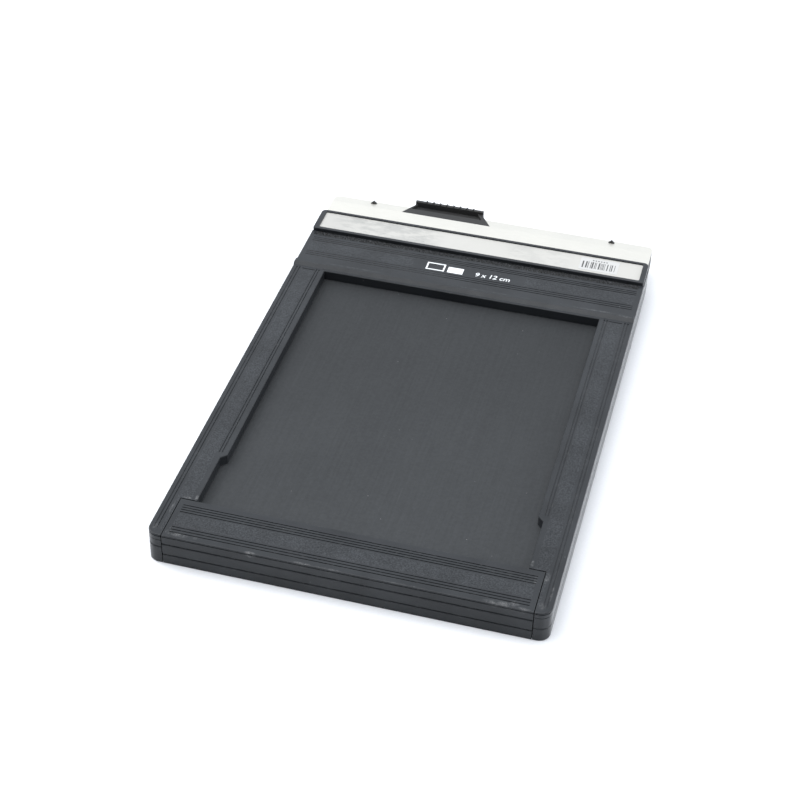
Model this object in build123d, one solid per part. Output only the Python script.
from build123d import *
import os

# A two-sided sheet-film holder (double dark slide) for 9 x 12 cm film, in millimetres.
# Building frame: X across the holder, Y from the loading flap's outer end (0) towards the
# dark-slide handles, Z from the middle plane outwards. Each piece is built on +Z, and its
# fellow on the other side is turned half a turn about Y. The two sides differ only in the
# fine grooves round the edge, which only the upper side has.

# ---- Driving dimensions ----
BODY_W = 120.0              # width, set by the camera back that the holder slides into
BODY_L = 177.2              # moulded body, flap end to handle end
HALF_T = 5.5                # half of the 11 mm thickness
FILM_DEPTH = 4.8            # outer face down to the film
WINDOW_HALF = 48.45         # half width of the window
WINDOW_WIDE_HALF = 50.2     # half width of the window at the loading end
WINDOW_END = 141.25         # far end of the window
NOTCH_Y = (37.3, 39.1)      # where the window steps from wide to narrow
RAIL_GROOVES_OUTER = (57.3, 58.3)
RAIL_GROOVES_INNER = (50.3, 51.2)
RAIL_GROOVE_Y = (3.0, 141.3)
RAIL_GROOVE = (0.45, 0.25)     # width and depth of a groove along a rail
RAIL_PANEL_X = (51.7, 56.4)     # grained panel on each rail, closed by a short groove
RAIL_PANEL_END = 140.6
END_GROOVES = (149.6, 150.7, 151.8, 158.5, 159.5, 160.5)
END_GROOVE_HALF = 58.2
GROOVE = 0.3                # width and depth of a decorative groove
CORNER_NEAR_R = 3.5
CORNER_FAR_R = 1.8
EDGE_R = 0.4
RIM_CHAMFER = 0.2           # round the window
PARTING_STEP = 0.8          # each half's right edge passes the middle plane by this much
PARTING_X = 54.6            # where that step begins
PARTING_CHAMFER = 0.32
SEAM = (0.45, 0.75)         # groove round the upper sides, measured down from the face
SEAM_DEPTH = 0.3
MOULD_LINE = (1.95, 2.15)   # fainter line below it, measured in the same way
MOULD_LINE_DEPTH = 0.15

FLAP_L = 16.57              # loading flap, along Y
FLAP_HALF = 55.05
FLAP_GAP = 0.25
FLAP_CLEAR = 0.35           # gap between the flap and the body along Y
COVER_Z = 2.0               # the flap's core reaches this far from the middle plane
REBATE = 0.2                # each layer's front edge is set back this high at a joint
REBATE_DEPTH = 0.35
LAYER_CHAMFER = 0.2
FLAP_EDGE_R = 0.25
FLAP_GROOVES = (2.3, 3.4, 4.5, 11.2, 12.2, 13.2, 14.2)
FLAP_GROOVE_HALF = 53.4

BLADE_HALF = 52.5           # half width of the dark slide
BLADE_Z = (1.3, 2.0)        # its two faces
BLADE_TAIL = 187.4          # its end, inside the handle
BLADE_CLIP = 2.0            # clipped leading corners
BLADE_GAP = 0.3             # between the flap and its leading edge
SLOT_Z = (1.2, 2.1)         # the slot that it runs in
SLOT_HALF = 52.9
CAVITY_HALF = 51.5          # hollow between the two halves
PLAY = 0.1                  # between the pieces inside

SEPTUM_HALF = 53.9          # its edges are gripped between the two halves
SEPTUM_HALF_T = 0.4
SEPTUM_Y = (18.0, 146.0)
SEPTUM_STEP = 24.0          # nearer the flap than this, it is thinned for the tape
TAPE_T = 0.3
TAPE_HALF = 48.0
TAPE_END = 8.1              # the tape's end inside the flap
FILM_HALF = 44.5            # film 88.5 mm wide, with play
FILM_END = 139.3
LIP = 2.0                   # how far a guide's lip covers the film
GUIDE_TOP = 1.15

RIB = (142.2, 143.4, 144.9)     # locating rib: foot, start and end of its crest
RIB_H = 1.0
RIB_BACK = 0.3                  # its far side leans by this much
RIB_END = 0.4
VELVET_Y = 162.0
VELVET_HALF = 58.55
VELVET_RISE = 0.45              # the outer strip's pile stands this far above the face
VELVET_PLAY = 0.05
TRAP_Y = (150.0, 160.0)         # pocket of the light trap
TRAP_FLOOR = 0.3
TRAP_HALF = 49.5
LEAF_T = 0.12                   # the spring leaf, its arch and its sloping ends
LEAF_ARCH = 0.23
LEAF_SLOPE = 2.6
LEAF_PLAY = 0.02
LABEL_Y = (164.6, 177.1)
LABEL_H = 1.2                   # the label frame stands this far above the body's face
LABEL_SEAT = 4.6
LABEL_HALF = 59.8
LABEL_EDGE_R = 0.3
MEMO_HALF = 57.95               # the writing strip inside the label frame
MEMO_Y = (165.75, 175.9)
MEMO_FLOOR = 6.0
MEMO_T = 0.25
MEMO_R = 0.5
MEMO_PLAY = 0.05

HANDLE_Y = (177.4, 192.3)
HANDLE_HALF = 59.2
HANDLE_LOW = 0.2
HANDLE_CORE = 3.4               # top of the moulded core
HANDLE_TOP = 4.0                # top of the bright facing
HANDLE_R = 2.2                  # its far corners
SMALL_R = 0.6
FACING_FOLD = 187.5             # past this line the facing slopes down
FACING_DROP = 0.7
GRIP_X = (-33.0, 0.2)           # near corners of the grip
LIP_X = (-29.1, -3.7)           # ends of its upright lip
LIP_Y = (193.5, 194.8)
LIP_TOP = 5.55
LIP_R = 0.45
GRIP_LOW = 0.6
GRIP_TOP = 3.9                  # its top at the fold
GRIP_RIM = 4.45                 # and at the lip
GRIP_ROOT_Y = (184.6, 188.0)    # the tongue that holds it in the handle
GRIP_ROOT_INSET = 3.0
DISH_FLOOR = 3.25               # sunken part of the tab, in front of the lip
DISH_START = 190.45
DISH_NEAR_X = (-30.0, -3.6)     # its near corners
DISH_FAR_X = (-28.1, -5.8)      # its far corners, at the lip
RIDGES = 8
RIDGE_PITCH = 2.5
RIDGE_FIRST = -25.0
RIDGE_HALF = 0.5
RIDGE_H = 0.4
RIDGE_ROOT = 0.5                # how far each ridge is sunk into the lip
RIDGE_INSET = 0.15              # from the lip's two faces
PIP_X = 44.3                    # pointed studs on the handle's far edge
PIP_Y = (190.2, 191.0)
PIP_HALF = 1.1
PIP_H = 1.1
PIP_ROOT = 1.3                  # how deep a stud reaches into the core
KEY_HOLES = (-45.0, -22.5, 0.0, 22.5, 45.0)
KEY_HOLE_Y = 182.5              # holes in the slide's tail that the handle is moulded through
KEY_HOLE_R = 1.2

LENGTH = LIP_Y[1]
MIDDLE_Z = HALF_T + LABEL_H     # middle plane above the lowest point
PARTS = "parts"

TO_ROW = Pos(0, -LENGTH / 2, MIDDLE_Z)
TURN = Rot(0, 180, 0)


# ---- Small helpers ----
def slab(x0, x1, y0, y1, z0, z1):
    """A box between two corners."""
    return Pos(x0, y0, z0) * Box(x1 - x0, y1 - y0, z1 - z0, align=(Align.MIN,) * 3)


def across(half, y0, y1, z0, z1):
    """A box centred on the holder's width."""
    return slab(-half, half, y0, y1, z0, z1)


def mirrored(points):
    """A plan outline from the points of its right half, in order."""
    return points + [(-x, y) for x, y in reversed(points)]


def prism(points, z0, z1):
    """A plan outline carried from z0 to z1."""
    face = make_face(Polyline(*points, close=True))
    return Pos(0, 0, z0) * extrude(face, amount=z1 - z0, dir=(0, 0, 1))


def along_x(points, x0, x1):
    """A (y, z) section carried from x0 to x1."""
    face = make_face(Polyline(*[(x0, y, z) for y, z in points], close=True))
    return extrude(face, amount=x1 - x0, dir=(1, 0, 0))


def along_y(points, y0, y1):
    """An (x, z) section carried from y0 to y1."""
    face = make_face(Polyline(*[(x, y0, z) for x, z in points], close=True))
    return extrude(face, amount=y1 - y0, dir=(0, 1, 0))


def edges_at(solid, z):
    """The edges that lie in the plane at height z."""
    return solid.edges().filter_by_position(Axis.Z, z - 0.001, z + 0.001)


def rounded_plate(half, y0, y1, z0, z1, near_r, far_r):
    """A slab whose upright corners are rounded."""
    solid = across(half, y0, y1, z0, z1)
    solid = fillet(solid.edges().filter_by(Axis.Z).group_by(Axis.Y)[0], near_r)
    return fillet(solid.edges().filter_by(Axis.Z).group_by(Axis.Y)[-1], far_r)


def cross_grooves(y_list, half):
    """Decorative grooves across the holder's face."""
    low, high = HALF_T - GROOVE, HALF_T + RIB_H
    return Compound([across(half, y - GROOVE / 2, y + GROOVE / 2, low, high) for y in y_list])


def rail_grooves(x_list, y0, y1):
    """Decorative grooves along both rails."""
    cutter = []
    for x in x_list:
        for centre in (-x, x):
            x0 = centre - RAIL_GROOVE[0] / 2
            low, high = HALF_T - RAIL_GROOVE[1], HALF_T + RIB_H
            cutter.append(slab(x0, x0 + RAIL_GROOVE[0], y0, y1, low, high))
    return Compound(cutter)


def edge_groove(span, depth):
    """A groove round the body's sides, its span measured down from the face."""
    z0, z1 = HALF_T - span[1], HALF_T - span[0]
    kept = rounded_plate(
        BODY_W / 2 - depth, depth, BODY_L - depth, z0, z1, CORNER_NEAR_R - depth, CORNER_FAR_R - depth
    )
    return across(BODY_W, -1, BODY_L + 1, z0, z1) - kept


# ---- Body ----
def window():
    """The stepped opening in one face, open towards the flap."""
    right = [
        (WINDOW_WIDE_HALF, FLAP_L - 2),
        (WINDOW_WIDE_HALF, NOTCH_Y[0]),
        (WINDOW_HALF, NOTCH_Y[1]),
        (WINDOW_HALF, WINDOW_END),
    ]
    return prism(mirrored(right), -1, HALF_T + 1)


def locating_rib():
    """The rib that drops into the camera back's groove."""
    foot, crest_0, crest_1 = RIB
    crest = HALF_T + RIB_H
    root = HALF_T - RIB_H
    section = [
        (foot, root),
        (foot, HALF_T),
        (crest_0, crest),
        (crest_1, crest),
        (crest_1 + RIB_BACK, root),
    ]
    rib = along_x(section, -BODY_W / 2, BODY_W / 2)
    return chamfer(edges_at(rib, crest).filter_by(Axis.Y), RIB_END)


def blank(low):
    """The body's outline from a height up to its face, with its edges eased."""
    solid = rounded_plate(BODY_W / 2, 0, BODY_L, low, HALF_T, CORNER_NEAR_R, CORNER_FAR_R)
    solid = fillet(edges_at(solid, HALF_T), EDGE_R)
    return chamfer(edges_at(solid, low), PARTING_CHAMFER)


def stepped_blank():
    """The outline whose right edge passes the middle plane and whose left edge stops short of it."""
    y0, y1 = -1, BODY_L + 1
    z0, z1 = -HALF_T, HALF_T + 1
    middle = blank(0) & across(PARTING_X, y0, y1, z0, z1)
    right = blank(-PARTING_STEP) & slab(PARTING_X, BODY_W, y0, y1, z0, z1)
    left = blank(PARTING_STEP) & slab(-BODY_W, -PARTING_X, y0, y1, z0, z1)
    return middle + right + left


def body_half(side_grooves):
    """One moulded half: rails, corner posts, end section and locating rib."""
    solid = stepped_blank() - window()
    rim = edges_at(solid, HALF_T).filter_by(lambda e: abs(e.center().X) < WINDOW_WIDE_HALF + 1)
    inner = rim.filter_by(lambda e: FLAP_L < e.center().Y < WINDOW_END + RIM_CHAMFER)
    solid = chamfer(inner, RIM_CHAMFER)
    for span, depth in side_grooves:
        solid -= edge_groove(span, depth)
    solid -= across(FLAP_HALF + FLAP_GAP, -1, FLAP_L + FLAP_CLEAR, -1, HALF_T + 1)
    solid -= across(SLOT_HALF, FLAP_L - 1, BODY_L + 1, *SLOT_Z)
    solid -= across(CAVITY_HALF, FLAP_L - 1, BODY_L + 1, -1, SLOT_Z[1])
    solid -= across(SEPTUM_HALF + PLAY, SEPTUM_Y[0] - PLAY, SEPTUM_Y[1], -1, SEPTUM_HALF_T)
    solid += locating_rib()
    solid -= across(VELVET_HALF + VELVET_PLAY, VELVET_Y, BODY_L + 1, LABEL_SEAT, HALF_T + 1)
    solid -= across(BODY_W, LABEL_Y[0], BODY_L + 1, LABEL_SEAT, HALF_T + 1)
    solid -= rail_grooves(RAIL_GROOVES_OUTER, *RAIL_GROOVE_Y)
    solid -= rail_grooves(RAIL_GROOVES_INNER, NOTCH_Y[1] + 2 * GROOVE, RAIL_GROOVE_Y[1])
    low, high = HALF_T - RAIL_GROOVE[1], HALF_T + RIB_H
    panel_end = slab(*RAIL_PANEL_X, RAIL_PANEL_END, RAIL_PANEL_END + GROOVE, low, high)
    solid -= panel_end
    solid -= mirror(panel_end, Plane.YZ)
    return solid - cross_grooves(END_GROOVES, END_GROOVE_HALF)


def septum():
    """The sheet between the two films, thinned at the flap end to carry the hinge tape."""
    far = SEPTUM_Y[1] - PLAY
    sheet = across(SEPTUM_HALF, SEPTUM_Y[0], far, -SEPTUM_HALF_T, SEPTUM_HALF_T)
    return sheet - across(TAPE_HALF + 2 * PLAY, SEPTUM_Y[0] - 1, SEPTUM_STEP, 0, 1)


def film_guide(side):
    """The strip beside the film, with a lip over the film's edge."""
    lip_under = HALF_T - FILM_DEPTH
    section = [
        (FILM_HALF, SEPTUM_HALF_T),
        (CAVITY_HALF - PLAY, SEPTUM_HALF_T),
        (CAVITY_HALF - PLAY, GUIDE_TOP),
        (FILM_HALF - LIP, GUIDE_TOP),
        (FILM_HALF - LIP, lip_under),
        (FILM_HALF, lip_under),
    ]
    return along_y([(side * x, z) for x, z in section], SEPTUM_STEP + PLAY, FILM_END)


def film_stop():
    """The strip that holds the film's far edge."""
    lip_under = HALF_T - FILM_DEPTH
    near = FILM_END + PLAY
    strip = across(CAVITY_HALF - PLAY, near, SEPTUM_Y[1] - PLAY, SEPTUM_HALF_T, GUIDE_TOP)
    return strip + across(FILM_HALF - LIP - PLAY, FILM_END - LIP, near, lip_under, GUIDE_TOP)


def trap_block():
    """The block between the two slide slots, with a light-trap pocket on each face."""
    block = across(CAVITY_HALF - PLAY, SEPTUM_Y[1], BODY_L, -GUIDE_TOP, GUIDE_TOP)
    upper = across(TRAP_HALF, *TRAP_Y, TRAP_FLOOR, GUIDE_TOP + 1)
    return block - upper - TURN * upper


def trap_spring():
    """The arched leaf that lifts the velvet pad towards the dark slide."""
    low = TRAP_FLOOR + LEAF_PLAY
    y0, y3 = TRAP_Y[0] + 4 * PLAY, TRAP_Y[1] - 4 * PLAY
    y1, y2 = y0 + LEAF_SLOPE, y3 - LEAF_SLOPE
    under = [(y0, low), (y1, low + LEAF_ARCH), (y2, low + LEAF_ARCH), (y3, low)]
    over = [(y, z + LEAF_T) for y, z in reversed(under)]
    half = TRAP_HALF - 4 * PLAY
    return along_x(under + over, -half, half)


def trap_velvet():
    """The pile pad that wipes the dark slide and shuts its slot."""
    y0, y1 = TRAP_Y[0] + 2 * PLAY, TRAP_Y[1] - 2 * PLAY
    return across(TRAP_HALF - 2 * PLAY, y0, y1, TRAP_FLOOR + 4 * PLAY, BLADE_Z[0] - VELVET_PLAY)


def velvet_strip():
    """The strip of pile that shows in front of the label frame."""
    y0, y1 = VELVET_Y + VELVET_PLAY, LABEL_Y[0] - VELVET_PLAY
    return across(VELVET_HALF, y0, y1, LABEL_SEAT, HALF_T + VELVET_RISE)


def label_frame():
    """The raised frame round the writing strip."""
    top = HALF_T + LABEL_H
    solid = rounded_plate(LABEL_HALF, *LABEL_Y, LABEL_SEAT, top, SMALL_R, CORNER_FAR_R)
    solid = fillet(edges_at(solid, top), LABEL_EDGE_R)
    recess = across(MEMO_HALF, *MEMO_Y, MEMO_FLOOR, top + 1)
    return solid - fillet(recess.edges().filter_by(Axis.Z), MEMO_R)


def memo_strip():
    """The matt strip for pencil notes."""
    y0, y1 = MEMO_Y[0] + MEMO_PLAY, MEMO_Y[1] - MEMO_PLAY
    strip = across(MEMO_HALF - MEMO_PLAY, y0, y1, MEMO_FLOOR, MEMO_FLOOR + MEMO_T)
    return fillet(strip.edges().filter_by(Axis.Z), MEMO_R - MEMO_PLAY)


def tape_on_body():
    """The hinge tape's end on the septum."""
    return across(TAPE_HALF, FLAP_L + PLAY, SEPTUM_STEP - PLAY, 0, TAPE_T)


# ---- Loading flap ----
def rebate(z0, z1):
    """The setback in one layer's front edge, where two layers meet."""
    return across(BODY_W, -1, REBATE_DEPTH, z0, z1)


def front_edges(solid, z):
    """The edges at a height that lie nearest to the flap's outer end."""
    return edges_at(solid, z).group_by(Axis.Y)[0]


def flap_cover(front_groove):
    """One face of the loading flap."""
    solid = across(FLAP_HALF, 0, FLAP_L, COVER_Z, HALF_T)
    solid = fillet(front_edges(solid, HALF_T), FLAP_EDGE_R)
    joint = COVER_Z + REBATE
    solid -= rebate(COVER_Z, joint)
    solid = chamfer(front_edges(solid, joint), LAYER_CHAMFER)
    if front_groove:
        solid -= across(BODY_W, -1, SEAM_DEPTH, HALF_T - SEAM[1], HALF_T - SEAM[0])
    return solid - cross_grooves(FLAP_GROOVES, FLAP_GROOVE_HALF)


def flap_core():
    """The flap's middle layer, with the pocket for the tape."""
    solid = across(FLAP_HALF, 0, FLAP_L, -COVER_Z, COVER_Z)
    for side in (-1, 1):
        joint = side * (COVER_Z - REBATE)
        solid -= rebate(*sorted((joint, side * COVER_Z)))
        solid = chamfer(front_edges(solid, joint), LAYER_CHAMFER)
    return solid - across(TAPE_HALF + 2 * PLAY, TAPE_END - PLAY, FLAP_L + 1, 0, TAPE_T)


def tape_in_flap():
    """The hinge tape's end in the flap."""
    return across(TAPE_HALF, TAPE_END, FLAP_L, 0, TAPE_T)


# ---- Dark slide ----
def blade():
    """The opaque sheet that covers the film, with clipped corners and a row of key holes."""
    y0 = FLAP_L + BLADE_GAP
    right = [
        (BLADE_HALF - BLADE_CLIP, y0),
        (BLADE_HALF, y0 + BLADE_CLIP),
        (BLADE_HALF, BLADE_TAIL),
    ]
    holes = [Pos(x, KEY_HOLE_Y, BLADE_Z[0]) * Cylinder(KEY_HOLE_R, HANDLE_TOP) for x in KEY_HOLES]
    return prism(mirrored(right), *BLADE_Z) - holes


def grip_plan(z0, z1):
    """The grip's outline: wide at the handle, narrower at its lip."""
    shoulder = LIP_Y[0] - SMALL_R
    outline = [
        (GRIP_X[0], FACING_FOLD),
        (GRIP_X[1], FACING_FOLD),
        (LIP_X[1], shoulder),
        (LIP_X[1], LIP_Y[1]),
        (LIP_X[0], LIP_Y[1]),
        (LIP_X[0], shoulder),
    ]
    return prism(outline, z0, z1)


def grip_root():
    """The tongue that carries the grip into the handle."""
    x0, x1 = GRIP_X[0] + GRIP_ROOT_INSET, GRIP_X[1] - GRIP_ROOT_INSET
    return slab(x0, x1, *GRIP_ROOT_Y, BLADE_Z[1] + PLAY, HANDLE_CORE - 3 * PLAY)


def pip(x):
    """One pointed stud."""
    low, peak = HANDLE_CORE - PIP_ROOT, HANDLE_TOP - FACING_DROP / 2 + PIP_H
    section = [
        (x - PIP_HALF, low),
        (x + PIP_HALF, low),
        (x + PIP_HALF, peak - PIP_HALF),
        (x, peak),
        (x - PIP_HALF, peak - PIP_HALF),
    ]
    return along_y(section, *PIP_Y)


def pips():
    """The pair of pointed studs, to be felt in the dark."""
    return [pip(-PIP_X), pip(PIP_X)]


def handle_core():
    """The bar moulded round the end of the dark slide, with its two pointed studs."""
    y0, y1 = HANDLE_Y
    solid = rounded_plate(HANDLE_HALF, y0, y1, HANDLE_LOW, HANDLE_CORE, SMALL_R, HANDLE_R)
    slope = [
        (FACING_FOLD, HANDLE_CORE),
        (y1, HANDLE_CORE - FACING_DROP),
        (y1 + 1, HANDLE_CORE - FACING_DROP),
        (y1 + 1, HANDLE_CORE + 1),
        (FACING_FOLD, HANDLE_CORE + 1),
    ]
    solid -= along_x(slope, -BODY_W, BODY_W)
    solid = solid - blade() - grip_plan(-1, HANDLE_TOP) - grip_root()
    return solid + pips()


def handle_facing():
    """The bright metal facing of the handle, sloping down past its fold."""
    y0, y1 = HANDLE_Y[0] + PLAY, HANDLE_Y[1]
    section = [
        (y0, HANDLE_CORE),
        (FACING_FOLD, HANDLE_CORE),
        (y1, HANDLE_CORE - FACING_DROP),
        (y1, HANDLE_TOP - FACING_DROP),
        (FACING_FOLD, HANDLE_TOP),
        (y0, HANDLE_TOP),
    ]
    solid = along_x(section, -HANDLE_HALF, HANDLE_HALF)
    solid = fillet(solid.edges().filter_by(Axis.Z).group_by(Axis.Y)[-1], HANDLE_R)
    return solid - grip_plan(-1, HANDLE_TOP + 1) - pips()


def ridge(x):
    """One ridge along the top of the grip's lip."""
    base, foot = LIP_TOP - RIDGE_ROOT, LIP_TOP - RIDGE_INSET
    section = [
        (x - RIDGE_HALF, base),
        (x + RIDGE_HALF, base),
        (x + RIDGE_HALF, foot),
        (x, LIP_TOP + RIDGE_H),
        (x - RIDGE_HALF, foot),
    ]
    return along_y(section, LIP_Y[0] + RIDGE_INSET, LIP_Y[1] - RIDGE_INSET)


def grip():
    """The finger grip: a rising, dished tab that ends in an upright ridged lip."""
    above = [
        (FACING_FOLD, GRIP_TOP),
        (LIP_Y[0], GRIP_RIM),
        (LIP_Y[0], LIP_TOP),
        (FACING_FOLD, LIP_TOP),
    ]
    dish = [
        (DISH_NEAR_X[0], DISH_START),
        (DISH_NEAR_X[1], DISH_START),
        (DISH_FAR_X[1], LIP_Y[0]),
        (DISH_FAR_X[0], LIP_Y[0]),
    ]
    tab = grip_plan(GRIP_LOW, GRIP_RIM) - along_x(above, *GRIP_X) - prism(dish, DISH_FLOOR, LIP_TOP)
    lip = slab(*LIP_X, *LIP_Y, GRIP_LOW, LIP_TOP)
    lip = fillet(edges_at(lip, LIP_TOP).filter_by(Axis.X), LIP_R)
    solid = tab + lip + grip_root()
    for i in range(RIDGES):
        solid += ridge(RIDGE_FIRST + RIDGE_PITCH * i)
    return solid


# ---- Writing ----
def write(name, piece):
    """Places a piece, or a list of separate solids, in the part's frame and writes its STEP."""
    solids = piece if isinstance(piece, list) else [piece]
    placed = [TO_ROW * solid for solid in solids]
    shape = placed[0] if len(placed) == 1 else Compound(children=placed)
    export_step(shape, os.path.join(PARTS, name + ".step"))


def turned(piece):
    """The same piece on the holder's other side."""
    return [TURN * solid for solid in piece] if isinstance(piece, list) else TURN * piece


def main():
    os.makedirs(PARTS, exist_ok=True)
    write("upper_body_half", body_half([(SEAM, SEAM_DEPTH), (MOULD_LINE, MOULD_LINE_DEPTH)]))
    write("lower_body_half", turned(body_half([])))
    write("upper_flap_cover", flap_cover(True))
    write("lower_flap_cover", turned(flap_cover(False)))
    each_side = {
        "film_stop": film_stop(),
        "trap_spring": trap_spring(),
        "trap_velvet": trap_velvet(),
        "velvet_strip": velvet_strip(),
        "label_frame": label_frame(),
        "memo_strip": memo_strip(),
        "slide_blade": blade(),
        "handle_core": handle_core(),
        "handle_facing": handle_facing(),
        "handle_grip": grip(),
    }
    for name, piece in each_side.items():
        write("upper_" + name, piece)
        write("lower_" + name, turned(piece))
    for hand, side in (("left", -1), ("right", 1)):
        write("upper_film_guide_" + hand, film_guide(side))
        write("lower_film_guide_" + hand, turned(film_guide(-side)))
    write("septum", septum())
    write("trap_block", trap_block())
    write("flap_core", flap_core())
    write("hinge_tape_body_end", tape_on_body())
    write("hinge_tape_flap_end", tape_in_flap())


if __name__ == "__main__":
    main()
